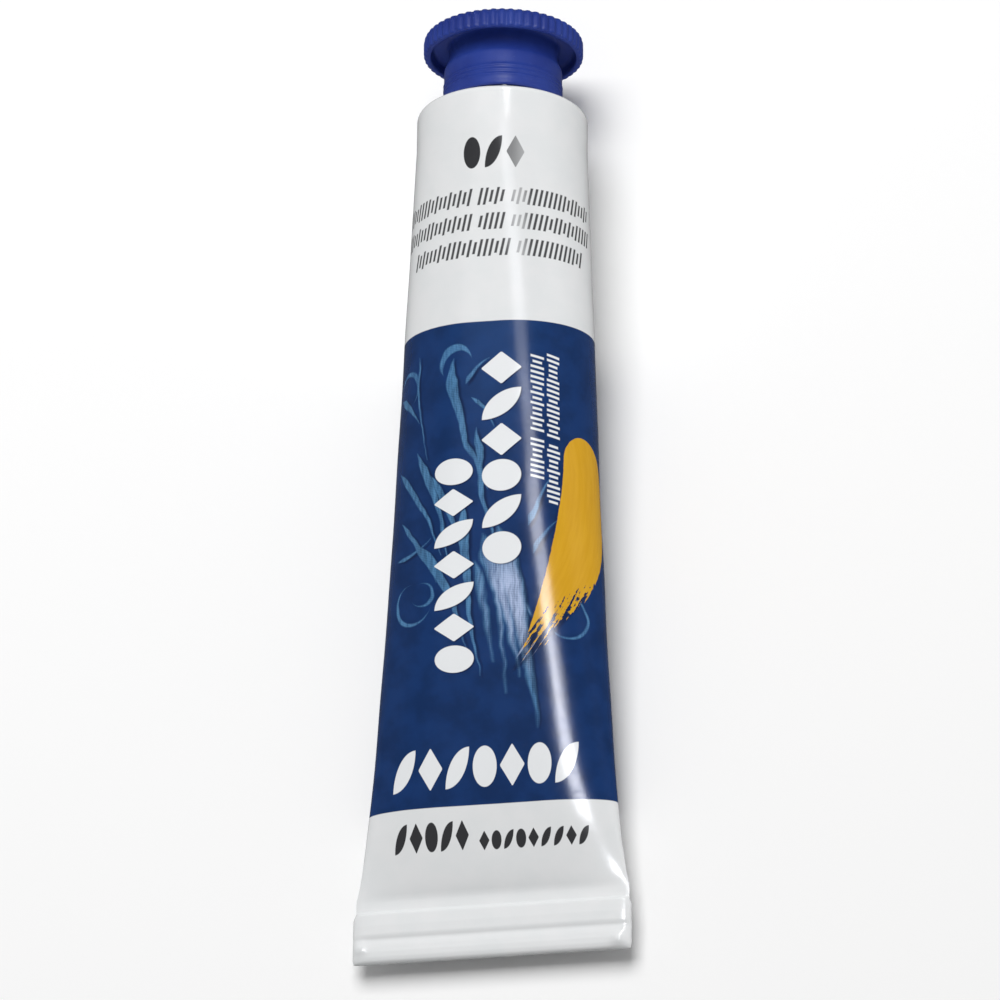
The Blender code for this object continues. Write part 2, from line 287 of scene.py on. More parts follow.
def shoulder(skin):
    """The rounded rim and the cone. The enamel ends on the cone, a little way out from the cap's skirt."""
    rim_centre_r = R - RIM_R
    rim_centre_y = cone_y(rim_centre_r, RIM_R)
    for y in (1.2, 2.4, rim_centre_y):
        skin.add(circle(R, y), -y)
    arc = rim_centre_y
    bend = 0.5 * math.pi - SLOPE
    for k in range(1, RIM_STEPS + 1):
        turn = bend * k / RIM_STEPS
        ring = circle(rim_centre_r + RIM_R * math.cos(turn), rim_centre_y + RIM_R * math.sin(turn))
        skin.add(ring, -arc - RIM_R * turn)
    edge_r = rim_centre_r + RIM_R * math.cos(bend)
    arc += RIM_R * bend
    for radius in (8.6, 8.2, 7.9, 7.6, 7.5):
        skin.add(circle(radius, cone_y(radius)), -arc - (edge_r - radius) / math.cos(SLOPE))
    for radius in (7.4, 6.6, 5.8, 5.0, 4.5, 4.25):
        skin.add(circle(radius, cone_y(radius)), -arc - (edge_r - radius) / math.cos(SLOPE), BARE)


def neck(skin):
    """The neck with its thread, its rounded mouth and the bore down through the shoulder."""
    skin.add(circle(NECK_R + 0.08, cone_y(NECK_R + 0.25) + 0.12), OFF_LABEL, BARE)
    for y in np.arange(cone_y(NECK_R) + 0.25, TIP_Y - 0.25, 0.11):
        ridge = thread(ANGLES, y, start_angle=0.5 * math.pi, height=0.42, width=0.4)
        skin.add(circle(NECK_R + ridge, y), OFF_LABEL, BARE)
    mouth = [
        (NECK_R, TIP_Y - 0.22), (NECK_R - 0.05, TIP_Y - 0.1), (NECK_R - 0.16, TIP_Y - 0.02),
        (NECK_R - 0.3, TIP_Y), (BORE_R + 0.25, TIP_Y), (BORE_R + 0.08, TIP_Y - 0.05), (BORE_R, TIP_Y - 0.18),
        (BORE_R, TIP_Y - 1.5), (BORE_R, cone_y(BORE_R, SHOULDER_WALL)),
    ]
    for radius, y in mouth:
        skin.add(circle(radius, y), OFF_LABEL, BARE)


def hollow(skin):
    """The inside, from under the shoulder down to the folded end."""
    for radius in (5.0, 7.5, R - WALL):
        skin.add(circle(radius, cone_y(radius, SHOULDER_WALL)), OFF_LABEL, BARE)
    for s in list(np.arange(0.0, FLATTEN - CAVITY_END - 1.0, 3.0)) + [FLATTEN - CAVITY_END]:
        skin.add(sleeve_row(s, WALL), OFF_LABEL, BARE)


def tube_body():
    """Folded end, sleeve, shoulder, threaded neck and the hollow inside, as one closed skin."""
    skin = Skin()
    # Rows lie close together over the folded end and further apart up the sleeve.
    stations = list(END - np.linspace(0.0, 1.0, 9) ** 1.5 * 0.7)
    stations += list(np.arange(END - 0.85, CREASE - 0.3, -0.12))
    stations += list(np.arange(CREASE - 0.6, FLATTEN - 8.0, -0.4))
    stations += list(np.arange(FLATTEN - 8.8, 0.6, -0.95)) + [0.0]
    for s in stations:
        skin.add(corner_bulges(dent(sleeve_row(s), s), s), s, ENAMEL)
    shoulder(skin)
    neck(skin)
    hollow(skin)
    body = skin.build("tube_body", last_mat=BARE)
    sharpen(body, 50.0)
    return body


DOME_STEPS = 9


def paint_charge():
    """The paint inside, up to a rounded surface just under the nozzle's mouth."""
    skin = Skin()
    inset = WALL + GAP
    bottom = FLATTEN - CAVITY_END - 2.0 * GAP - 1.2
    for s in [bottom] + list(np.arange(bottom - 2.0, 0.5, -2.5)) + [0.0]:
        skin.add(sleeve_row(s, inset), s)
    wall = SHOULDER_WALL + GAP
    for radius in (R - inset, 7.5, 5.0, 2.6, BORE_R - GAP):
        skin.add(circle(radius, cone_y(radius, wall)))
    skin.add(circle(BORE_R - GAP, TIP_Y - 0.8))
    dome = BORE_R - GAP
    for k in range(DOME_STEPS):
        turn = 0.5 * math.pi * k / DOME_STEPS
        skin.add(circle(dome * math.cos(turn), TIP_Y - 0.35 + 0.3 * math.sin(turn)))
    charge = skin.build("paint_charge", last="fan")
    sharpen(charge, 60.0)
    return charge


# Cap: its outline as (radius, height) points, from the middle of the end face round to the bore and its roof.
# The flange's edge has the ribs, so its points also say how strongly they are ribbed. CAP_THREAD has the
# heights between which the bore is threaded, and the step between its rows.
RIBS = 54
RIB_DEPTH = 0.25
RIB_POWER = 1.6
CAP_COLUMNS = RIBS * 8
CAP_END_FACE = [
    (0.35, 13.93), (0.8, 13.93), (0.95, 13.83), (1.3, 13.83), (3.5, 13.84), (5.7, 13.85), (6.0, 13.87),
    (6.18, 13.95), (6.3, 14.06), (6.5, 14.12), (7.4, 14.12), (8.15, 14.12),
]
CAP_EDGE = [
    (8.42, 14.08, 1.0), (8.66, 13.97, 1.6), (8.82, 13.8, 1.3), (8.9, 13.6, 1.0), (8.93, 13.3, 0.8),
    (8.93, 12.8, 0.7), (8.93, 12.3, 0.7), (8.92, 12.1, 0.7), (8.87, 11.95, 0.7), (8.76, 11.85, 0.4),
    (8.6, 11.8, 0.1),
]
CAP_HOLLOW = [
    (8.35, 11.8), (8.2, 11.84), (8.12, 11.95), (8.08, 12.3), (8.02, 12.75), (7.9, 13.03), (7.65, 13.14),
    (7.0, 13.15), (6.5, 13.13), (6.25, 13.03), (6.1, 12.8), (6.05, 12.4),
]
CAP_SKIRT_R = 6.6
CAP_SKIRT = [
    (6.05, 11.9), (6.08, 11.4), (6.16, 11.0), (6.3, 10.6), (6.46, 10.3), (6.57, 10.05), (CAP_SKIRT_R, 9.8),
    (CAP_SKIRT_R, 9.2), (CAP_SKIRT_R, 8.6),
]
CAP_BASE = [
    (CAP_SKIRT_R, 6.3), (6.59, 6.05), (6.54, 5.93), (6.45, 5.87), (6.3, 5.86), (5.9, 6.0), (5.3, 6.26),
    (4.9, 6.43), (4.78, 6.5),
]
CAP_BORE = 4.75
CAP_THREAD = (6.6, 11.6, 0.12)
CAP_ROOF_Y = 12.9
CAP_ROOF = ((CAP_BORE, 12.6), (CAP_BORE - 0.08, 12.8), (CAP_BORE - 0.3, CAP_ROOF_Y), (2.5, CAP_ROOF_Y))

# Heights of the fine rings round the skirt, and one ring's shape as (height from its middle, how far out)
CAP_RINGS = (8.15, 7.6, 7.05)
RING_SHAPE = ((0.17, 0.0), (0.1, 0.05), (0.0, 0.08), (-0.1, 0.05), (-0.17, 0.0))


def screw_cap():
    """The cap, with its ribbed flange, the hollow under it, the ringed skirt and the threaded bore."""
    angles = np.arange(CAP_COLUMNS) * 2.0 * math.pi / CAP_COLUMNS
    rib = (0.5 + 0.5 * np.cos(RIBS * angles)) ** RIB_POWER
    skin = Skin()
    for radius, y in CAP_END_FACE:
        skin.add(circle(radius, y, angles))
    for radius, y, ribbed in CAP_EDGE:
        skin.add(circle(radius - RIB_DEPTH * ribbed * rib, y, angles))
    for radius, y in CAP_HOLLOW + CAP_SKIRT:
        skin.add(circle(radius, y, angles))
    for middle in CAP_RINGS:
        for away, stand in RING_SHAPE:
            skin.add(circle(CAP_SKIRT_R + stand, middle + away, angles))
    for radius, y in CAP_BASE:
        skin.add(circle(radius, y, angles))
    for y in np.arange(*CAP_THREAD):
        ridge = thread(angles, y, start_angle=-0.5 * math.pi, height=0.33, width=0.36)
        skin.add(circle(CAP_BORE - ridge, y, angles))
    for radius, y in CAP_ROOF:
        skin.add(circle(radius, y, angles))
    cap = skin.build("cap_moulding", first="fan", last="fan")
    sharpen(cap, 48.0)
    return cap


# Materials ----------------------------------------------------------------------------------------

class Field:
    """A number over a surface. Arithmetic on it adds Math nodes to a material's tree."""

    def __init__(self, tree, socket):
        self.tree, self.socket = tree, socket

    def math(self, kind, *others):
        """A Math node of a kind, fed with this field and the others."""
        node = self.tree.nodes.new("ShaderNodeMath")
        node.operation = kind
        for place, value in enumerate((self,) + others):
            if isinstance(value, Field):
                self.tree.links.new(value.socket, node.inputs[place])
            else:
                node.inputs[place].default_value = value
        return Field(self.tree, node.outputs[0])

    def __add__(self, other):
        return self.math("ADD", other)

    __radd__ = __add__

    def __sub__(self, other):
        return self.math("SUBTRACT", other)

    def __rsub__(self, other):
        return (self * -1.0) + other

    def __mul__(self, other):
        return self.math("MULTIPLY", other)

    __rmul__ = __mul__

    def __truediv__(self, other):
        return self.math("DIVIDE", other)

    def __neg__(self):
        return self * -1.0

    def abs(self):
        return self.math("ABSOLUTE")

    def floor(self):
        return self.math("FLOOR")

    def fract(self):
        return self.math("FRACT")

    def sin(self):
        return self.math("SINE")

    def sqrt(self):
        return self.math("SQRT")

    def power(self, exponent):
        return self.math("POWER", exponent)

    def low(self, other):
        return self.math("MINIMUM", other)

    def high(self, other):
        return self.math("MAXIMUM", other)

    def greater(self, other):
        return self.math("GREATER_THAN", other)

    def length(self, other):
        """The hypotenuse of this and another field."""
        return (self * self + other * other).sqrt()

    def ramp(self, low, high):
        """0 at low and 1 at high, smooth between. low may be the larger."""
        node = self.tree.nodes.new("ShaderNodeMapRange")
        node.interpolation_type = "SMOOTHSTEP"
        self.tree.links.new(self.socket, node.inputs["Value"])
        node.inputs["From Min"].default_value = low
        node.inputs["From Max"].default_value = high
        return Field(self.tree, node.outputs["Result"])

    def inside(self, soft):
        """1 where this signed distance is below zero, with a soft edge."""
        return self.ramp(soft, -soft)

    def hash(self, seed):
        """A number from 0 to 1 that looks random, the same for the same whole number and seed."""
        return ((self * 12.9898 + seed).sin() * 4375.85).fract()


def material(name, roughness, metallic=0.0, coat=0.0):
    """A new material with its node tree and its Principled shader."""
    mat = bpy.data.materials.new(name)
    mat.use_nodes = True
    shader = mat.node_tree.nodes["Principled BSDF"]
    shader.inputs["Roughness"].default_value = roughness
    shader.inputs["Metallic"].default_value = metallic
    shader.inputs["Coat Weight"].default_value = coat
    return mat, mat.node_tree, shader


def linear(r, g, b):
    """A colour given as 0 to 255 display values, as the shader wants it."""
    shares = [c / 255.0 for c in (r, g, b)]
    return tuple(c / 12.92 if c < 0.0404 else ((c + 0.055) / 1.055) ** 2.4 for c in shares) + (1.0,)


def place(tree):
    """The label's coordinates u and s as fields, in millimetres."""
    uv = tree.nodes.new("ShaderNodeUVMap")
    uv.uv_map = "place"
    split = tree.nodes.new("ShaderNodeSeparateXYZ")
    tree.links.new(uv.outputs[0], split.inputs[0])
    u = (Field(tree, split.outputs[0]) - 0.5) * ROUND
    s = Field(tree, split.outputs[1]) * MAP_LENGTH
    return u, s


def object_place(tree):
    """Object coordinates in millimetres, for noise that has no seam."""
    where = tree.nodes.new("ShaderNodeTexCoord")
    times = tree.nodes.new("ShaderNodeVectorMath")
    times.operation = "SCALE"
    times.inputs["Scale"].default_value = 1.0 / MM
    tree.links.new(where.outputs["Object"], times.inputs[0])
    return times.outputs[0]


def noise(tree, vector, scale, detail=2.0, roughness=0.5):
    """Noise as a field about 0.5. vector is a socket or three fields."""
    node = tree.nodes.new("ShaderNodeTexNoise")
    node.inputs["Scale"].default_value = scale
    node.inputs["Detail"].default_value = detail
    node.inputs["Roughness"].default_value = roughness
    if isinstance(vector, tuple):
        join = tree.nodes.new("ShaderNodeCombineXYZ")
        for slot, value in enumerate(vector):
            if isinstance(value, Field):
                tree.links.new(value.socket, join.inputs[slot])
            else:
                join.inputs[slot].default_value = value
        vector = join.outputs[0]
    tree.links.new(vector, node.inputs["Vector"])
    return Field(tree, node.outputs["Fac"])


def solid_noise(tree, scale, detail, roughness=0.5):
    """Noise through the object, its scale in cells for each millimetre."""
    return noise(tree, object_place(tree), scale, detail, roughness)


# Numbers of the Mix node's sockets when it mixes colours
MIX_AMOUNT, MIX_BELOW, MIX_ABOVE, MIX_RESULT = 0, 6, 7, 2


def mix(tree, below, above, amount):
    """The colour above laid over the colour below by a field. Colours are sockets or tuples."""
    node = tree.nodes.new("ShaderNodeMix")
    node.data_type = "RGBA"
    node.blend_type = "MIX"
    for socket, value in ((node.inputs[MIX_BELOW], below), (node.inputs[MIX_ABOVE], above)):
        if isinstance(value, tuple):
            socket.default_value = value
        else:
            tree.links.new(value, socket)
    tree.links.new(amount.socket, node.inputs[MIX_AMOUNT])
    return node.outputs[MIX_RESULT]


def bump(tree, shader, height, distance):
    """Raises the surface by a field times a distance in millimetres."""
    node = tree.nodes.new("ShaderNodeBump")
    node.inputs["Distance"].default_value = distance * MM
    tree.links.new(height.socket, node.inputs["Height"])
    tree.links.new(node.outputs[0], shader.inputs["Normal"])


# Printing. Every mark is a plain shape: rows of tiles and slanted strokes where a real label has its words.

def box(u, s, u0, u1, s0, s1):
    """Signed distance to an upright rectangle."""
    across = (u - 0.5 * (u0 + u1)).abs() - 0.5 * (u1 - u0)
    down = (s - 0.5 * (s0 + s1)).abs() - 0.5 * (s1 - s0)
    return across.high(down)


def tiles(along, across, start, end, low, high, count, gap, seed):
    """Signed distance to a row of tiles: filled discs, diamonds and leaves."""
    step = (end - start) / count
    tall = high - low
    cell = (along - start) / step
    index = cell.floor()
    a = (cell.fract() - 0.5) * (step / (step - gap)) + 0.5
    c = (across - low) / tall
    frame_a, frame_c = (a - 0.5).abs() - 0.5, (c - 0.5).abs() - 0.5
    disc = (a - 0.5).length(c - 0.5) - 0.5
    diamond = (a - 0.5).abs() + (c - 0.5).abs() - 0.52
    leaf = (a.length(c) - 1.0).high((1.0 - a).length(1.0 - c) - 1.0)
    pick = index.hash(seed)
    shape = leaf + (diamond - leaf) * pick.greater(0.5) + (disc - diamond) * pick.greater(0.72)
    inside_row = (along - 0.5 * (start + end)).abs() - 0.5 * (end - start)
    return (shape * tall).high(frame_a * step).high(frame_c * tall).high(inside_row)


STROKE_SLANT = 0.22


def strokes(along, across, start, end, low, high, period, width, seed, gaps):
    """A run of slanted strokes of uneven heights: what a line of small print comes to from a distance."""
    middle, half = 0.5 * (low + high), 0.5 * abs(high - low)
    count = round((end - start) / period)
    period = (end - start) / count
    away = across - middle
    cell = (along + away * STROKE_SLANT - start) / period
    index = cell.floor()
    within = (cell.fract() - 0.5).abs() * period - 0.5 * width
    short = index.hash(seed).greater(0.72) * 0.3
    shape = within.high(away.abs() - (1.0 - short) * half)
    shape = shape.high((index + 0.5 - 0.5 * count).abs() - 0.5 * count)
    for gap in gaps:
        at = math.floor((gap - start) / period)
        shape = shape.high(0.6 - (index - at).abs())
    return shape


def ribbon(u, s, u0, s0, u1, s1, width, bend):
    """Signed distance to a curved ribbon that swells to its width and then thins to a point."""
    du, ds = u1 - u0, s1 - s0
    size = math.hypot(du, ds)
    way = (u - u0) * (du / size) + (s - s0) * (ds / size)
    t = (way / size).high(0.0).low(1.0)
    side = (u - u0) * (ds / size) - (s - s0) * (du / size) - t * (1.0 - t) * (4.0 * bend)
    return side.length(way - t * size) - (1.0 - t) * (t * 6.0).low(1.0) * width


def crescent(u, s, centre_u, centre_s, radius, width, towards_u, towards_s):
    """Signed distance to a thin crescent, widest on the side that faces away from its opening."""
    reach = math.hypot(towards_u, towards_s)
    inner_u = centre_u + towards_u / reach * width
    inner_s = centre_s + towards_s / reach * width
    outer = (u - centre_u).length(s - centre_s) - radius
    inner = (u - inner_u).length(s - inner_s) - radius * 0.96
    return outer.high(-inner)


def nearest(shapes):
    """Signed distance to whichever of the shapes is nearest."""
    joined = None
    for shape in shapes:
        joined = shape if joined is None else joined.low(shape)
    return joined


# The faint artwork's ribbons and feather strands as (u, s of the root, u, s of the tip, width, bend)
RIBBONS = [
    (-3.9, 27.0, 0.3, 42.0, 0.72, -1.0), (-1.0, 35.0, 1.4, 50.0, 0.5, -0.6),
    (-2.2, 30.0, 0.4, 27.2, 0.3, 0.4), (-1.6, 31.6, 1.0, 35.0, 0.28, 0.3),
    (-8.3, 26.0, -6.9, 38.0, 0.2, -0.5), (-8.4, 37.0, -4.4, 50.0, 0.6, 0.7),
    (-11.9, 30.0, -8.2, 33.6, 0.55, 0.3), (-11.6, 38.6, -5.2, 49.0, 0.46, 0.8),
    (-10.6, 44.6, -5.8, 52.0, 0.34, 0.5), (-8.6, 47.2, -2.4, 59.5, 0.8, 1.0),
    (-11.2, 48.8, -6.4, 47.0, 0.26, -0.5), (-6.4, 40.0, -1.8, 52.0, 0.5, 0.5),
    (-2.6, 43.0, -0.9, 62.5, 0.72, -0.4), (4.9, 46.3, 7.6, 40.6, 0.4, 0.3),
    (5.3, 49.4, 8.0, 45.6, 0.3, 0.3),
]
FEATHER = [
    (1.0, 46.0, 5.7, 68.4, 1.8, 0.5), (-0.4, 47.0, 3.7, 62.8, 1.5, 0.4), (2.5, 48.0, 4.7, 61.5, 0.85, -0.2),
    (-1.3, 50.0, 0.6, 61.0, 0.6, 0.2), (2.7, 51.0, 6.1, 57.4, 0.35, -0.4), (0.8, 50.0, 2.2, 64.5, 0.5, 0.0),
]
# Crescents as (u, s of the centre, radius, width, direction in u and s that the opening faces)
CRESCENTS = [
    (-3.5, 27.3, 1.9, 0.75, 0.5, 1.0), (-8.9, 54.2, 2.3, 0.36, 1.0, -0.8),
    (-7.4, 53.2, 1.3, 0.28, -1.0, -0.4), (9.2, 56.4, 2.4, 0.22, -1.0, -0.6),
    (-10.2, 29.2, 2.0, 0.4, -0.6, 1.0),
]

BAND_TOP, BAND_BOTTOM = 23.03, 76.36
NAVY = linear(13, 41, 84)
NAVY_LIGHT = linear(18, 49, 98)
# The next colour is a painted highlight on the navy band.
NAVY_PAINTED_HIGHLIGHT = linear(38, 72, 124)
NAVY_DEEP = linear(8, 20, 50)
STEEL_BLUE = linear(80, 130, 172)
PALE_BLUE = linear(172, 184, 214)
WHITE = linear(209, 211, 212)
WHITE_LIGHT = linear(212, 213, 214)
PRINT_WHITE = linear(216, 218, 220)
INK = linear(26, 26, 30)
PRINT_EDGE = 0.05


def artwork(tree, u, s, navy):
    """Ribbons, crescents and a feather in light blue with darker sides, screened in fine dots."""
    drift = noise(tree, (u * 0.25, s * 0.25, 3.0), 1.0, 2.0) - 0.5
    swirl = u + drift * 1.3
    screen = ((u * 16.0 + s * 16.0).sin() * (u * 16.0 - s * 16.0).sin()).ramp(-0.45, 0.45)
    grain = noise(tree, (swirl * 2.4, s * 0.3, 1.0), 1.0, 4.0, 0.65).ramp(0.34, 0.66)
    curls = [crescent(swirl, s, *sizes) for sizes in CRESCENTS]
    bands = nearest([ribbon(swirl, s, *sizes) for sizes in RIBBONS] + curls)
    feather = nearest([ribbon(swirl, s, *sizes) for sizes in FEATHER])
    beside = nearest([ribbon(swirl - 0.32, s - 0.2, *sizes) for sizes in RIBBONS + FEATHER[:1]])
    navy = mix(tree, navy, NAVY_DEEP, beside.inside(0.2) * 0.7)
    navy = mix(tree, navy, STEEL_BLUE, bands.inside(0.1) * (0.25 + grain * 0.45 + screen * 0.25))
    navy = mix(tree, navy, STEEL_BLUE, feather.inside(0.3) * (0.15 + grain * 0.55 + screen * 0.25))
    bright = feather.ramp(0.1, -0.7) * s.ramp(47.0, 53.0) * s.ramp(65.0, 57.0) * u.ramp(-2.0, 2.0)
    return mix(tree, navy, PALE_BLUE, bright * (0.25 + grain * 0.45 + screen * 0.3))


# The brush mark: s of its upper end and the length over which that end is rounded, where its left edge starts
# to bend away, where its right edge bulges most, and a point on the slanted line where the brush runs dry
BRUSH_TOP = 35.7
BRUSH_ROUND = 2.7
BRUSH_LEFT_U, BRUSH_LEFT_S = 8.75, 39.0
BRUSH_RIGHT_U, BRUSH_RIGHT_S = 15.3, 43.0
BRUSH_DRY_U, BRUSH_DRY_S = 5.3, 57.6
BRUSH_DRY_SLANT = 0.62
YELLOW_DEEP = linear(194, 145, 29)
YELLOW = linear(200, 152, 35)


def brush_mark(tree, u, s, navy):
    """One stroke of yellow paint, blunt at its upper end, that runs dry at its lower end."""
    left = BRUSH_LEFT_U - (s - BRUSH_LEFT_S).high(0.0).power(1.575) * 0.0393
    right = BRUSH_RIGHT_U - (s - BRUSH_RIGHT_S) * (s - BRUSH_RIGHT_S) * 0.032
    centre, half = (left + right) * 0.5, (right - left) * 0.5
    above = ((BRUSH_TOP + BRUSH_ROUND - s) / BRUSH_ROUND).high(0.0).low(1.0)
    half = half * (1.0 - above * above).sqrt()
    away = u - centre
    bristle = noise(tree, (away * 2.3, s * 0.22, 5.0), 1.0, 3.0, 0.6)
    fleck = noise(tree, (away * 2.0, s * 1.3, 9.0), 1.2, 3.0, 0.6)
    edge = (away.abs() - half + (fleck - 0.5) * 0.22).high(BRUSH_TOP - s)
    beyond = s - BRUSH_DRY_S + (u - BRUSH_DRY_U) * BRUSH_DRY_SLANT
    dry = beyond * 0.42 + (0.5 - bristle) * 5.5 + (0.5 - fleck) * 3.2
    body = edge.high(dry * beyond.ramp(-2.6, -1.0) - beyond.ramp(-1.0, -2.6)).high(beyond - 3.6)
    # A dark edge lies to the stroke's left and goes on below it, with a few pale streaks where it runs dry.
    shade = (((u + 0.3) - centre).abs() - half).high(s - 61.0 + (u - BRUSH_DRY_U) * 0.5).high(36.5 - s)
    smudge = shade.inside(0.3) * (0.5 + 0.5 * beyond.ramp(-3.0, -0.5))
    navy = mix(tree, navy, NAVY_DEEP, smudge * (0.6 + (fleck - 0.5) * beyond.ramp(-0.5, 2.5)))
    streaks = shade.inside(0.2) * beyond.ramp(-0.5, 1.2) * bristle.ramp(0.56, 0.66) * 0.6
    navy = mix(tree, navy, PALE_BLUE, streaks)
    yellow = mix(tree, YELLOW_DEEP, YELLOW, bristle.ramp(0.3, 0.7))
    return mix(tree, navy, yellow, body.inside(PRINT_EDGE))


# Rows of tiles as (start, end, low edge, high edge, how many, gap, seed). The large ones run up the tube.
LARGE_TILES = ((-62.3, -38.1, 1.5, 5.95, 7, 0.5, 19.5), (-50.6, -26.4, -3.95, 0.45, 6, 0.5, 2.8))
FOOT_TILES = (-11.2, 10.4, 70.1, 74.5, 7, 0.4, 27.3)
CODE_TILES = (-2.75, 4.55, 1.75, 5.4, 3, 0.5, 4.8)
VOLUME_TILES = ((-10.9, -2.2, 77.9, 81.0, 5, 0.3, 10.2), (-1.3, 11.2, 79.15, 81.15, 9, 0.26, 39.9))

# Lines of strokes as (start, end, low edge, high edge, spacing, width, seed, places of the gaps)
SIDE_STROKES = (
    (-41.1, -26.9, 5.0, 6.5, 0.58, 0.27, 1.0, (-36.2,)),
    (-43.9, -26.7, 6.85, 8.3, 0.58, 0.27, 2.0, (-37.0,)),
)
NAME_STROKES = (
    (-13.2, 13.9, 7.75, 9.7, 0.62, 0.3, 1.0, (-0.9, 2.7)),
    (-13.2, 13.9, 10.65, 12.55, 0.62, 0.3, 2.0, (-1.1, 2.5)),
    (-9.6, 12.1, 13.65, 15.6, 0.62, 0.3, 3.0, (3.2,)),
)

# The block of lines on the back: s of its top and bottom, u of its side edges, and the spacing of the lines
BACK_TOP = 28.0
BACK_BOTTOM = 69.5
BACK_EDGE = 17.0
BACK_SPACING = 2.3


def back_lines(u, s):
    """Signed distance to the back's lines of short ticks, each line shifted by its own amount."""
    line = (s - BACK_TOP) / BACK_SPACING
    ticks = ((u * 2.1 + line.floor().hash(3.0) * 3.0).fract() - 0.5).abs() * 0.48 - 0.13
    block = ((line.fract() - 0.5).abs() * BACK_SPACING - 0.42).high(ticks)
    return block.high(BACK_EDGE - u.abs()).high(BACK_TOP - s).high(s - BACK_BOTTOM)


def label(tree):
    """The print's colour, as a socket."""
    u, s = place(tree)
    wave = noise(tree, (u * 0.4, s * 0.4, 0.0), 1.0) - 0.5
    mottle = solid_noise(tree, 0.35, 3.0)
    band = box(u, s, -40.0, 40.0, BAND_TOP, BAND_BOTTOM) + wave * 0.03
    navy = mix(tree, NAVY, NAVY_LIGHT, mottle.ramp(0.3, 0.7))
    # Painted highlight: the band is made lighter near its top, a little right of the middle, where a soft
    # reflection falls.
    navy = mix(tree, navy, NAVY_PAINTED_HIGHLIGHT, s.ramp(46.0, 24.0) * u.ramp(-7.0, 1.0) * u.ramp(8.0, 2.5) * 0.35)
    navy = artwork(tree, u, s, navy)
    navy = brush_mark(tree, u, s, navy)

    # Two rows of large tiles run up the tube, with two lines of strokes beside them. One row lies across the
    # band's foot, and a block of lines is on the back.
    up = -s
    large = nearest([tiles(up, -u, *row) for row in LARGE_TILES])
    shadow = nearest([tiles(up + 0.12, 0.14 - u, *row) for row in LARGE_TILES])
    navy = mix(tree, navy, NAVY_DEEP, shadow.inside(0.12) * 0.7)
    foot = tiles(u, s, *FOOT_TILES)
    small = nearest([strokes(up, u, *row) for row in SIDE_STROKES])
    white_print = nearest([large, foot, small, back_lines(u, s)])
    front = mix(tree, navy, PRINT_WHITE, white_print.inside(PRINT_EDGE))

    # Dark marks on the white ends. They are made paler by a painted highlight, where a reflection runs down
    # the white end across them.
    # Painted highlight: the code's tiles fade towards the right.
    painted_highlight_on_code = u.ramp(1.4, 4.6)
    dark = tiles(u, s, *CODE_TILES).inside(PRINT_EDGE) * (0.97 - 0.5 * painted_highlight_on_code)
    lines = nearest([strokes(u, s, *row) for row in NAME_STROKES])
    # Painted highlight: the lines of strokes are paler in a band about u = 3.7.
    painted_highlight_on_lines = (u - 3.7).abs().ramp(1.5, 0.3)
    dark = dark.high(lines.inside(PRINT_EDGE) * (0.92 - 0.45 * painted_highlight_on_lines))
    volume = nearest([tiles(u, s, *row) for row in VOLUME_TILES])
    dark = dark.high(volume.inside(PRINT_EDGE) * 0.97)
    white = mix(tree, WHITE, WHITE_LIGHT, mottle.ramp(0.3, 0.7))
    ends = mix(tree, white, INK, dark)
    return mix(tree, ends, front, band.inside(PRINT_EDGE))


def enamel():
    """The printed coat on the sleeve: glossy, with a slightly uneven surface."""
    mat, tree, shader = material("printed_enamel", 0.2)
    tree.links.new(label(tree), shader.inputs["Base Color"])
    handled = solid_noise(tree, 0.9, 4.0, 0.6)
    rough = 0.16 + handled.ramp(0.5, 0.8) * 0.06
    tree.links.new(rough.socket, shader.inputs["Roughness"])
    peel = solid_noise(tree, 1.6, 2.0)
    bump(tree, shader, peel + handled * 0.5, 0.004)
    return mat


def bare_metal():
    """Softly mottled aluminium of the shoulder, the neck and the inside."""
    mat, tree, shader = material("bare_aluminium", 0.3, metallic=1.0)
    grain = solid_noise(tree, 2.4, 4.0, 0.65)
    fine = solid_noise(tree, 14.0, 2.0)
    colour = mix(tree, (0.66, 0.67, 0.69, 1.0), (0.83, 0.84, 0.85, 1.0), grain.ramp(0.3, 0.7))
    tree.links.new(colour, shader.inputs["Base Color"])
    rough = 0.24 + grain * 0.18
    tree.links.new(rough.socket, shader.inputs["Roughness"])
    bump(tree, shader, fine + grain, 0.01)
    return mat


def cap_plastic():
    """Satin blue plastic with faint clouds, scuffs and a few pale specks."""
    mat, tree, shader = material("blue_plastic", 0.4)
    shader.inputs["Specular IOR Level"].default_value = 0.4
    cloud = solid_noise(tree, 0.22, 3.0)
    speck = solid_noise(tree, 3.4, 1.0)
    scuff = solid_noise(tree, 1.1, 5.0, 0.7)
    colour = mix(tree, linear(27, 44, 115), linear(34, 54, 128), cloud.ramp(0.3, 0.7))
    colour = mix(tree, colour, linear(120, 140, 190), speck.ramp(0.78, 0.82) * 0.7)
    colour = mix(tree, colour, linear(60, 84, 168), scuff.ramp(0.62, 0.75) * 0.25)
    tree.links.new(colour, shader.inputs["Base Color"])
    rough = 0.32 + cloud * 0.1 + scuff.ramp(0.6, 0.75) * 0.12
    tree.links.new(rough.socket, shader.inputs["Roughness"])
    fine = solid_noise(tree, 9.0, 2.0)
    bump(tree, shader, fine + scuff, 0.008)
    return mat


def paint_material():
    """White paint, with soft swirls."""
    mat, tree, shader = material("titanium_paint", 0.25, coat=0.2)
    swirl = solid_noise(tree, 0.6, 3.0)
    colour = mix(tree, linear(240, 240, 236), linear(250, 250, 248), swirl.ramp(0.3, 0.7))
    tree.links.new(colour, shader.inputs["Base Color"])
    rough = 0.2 + swirl * 0.15
    tree.links.new(rough.socket, shader.inputs["Roughness"])
    bump(tree, shader, swirl, 0.08)
    return mat


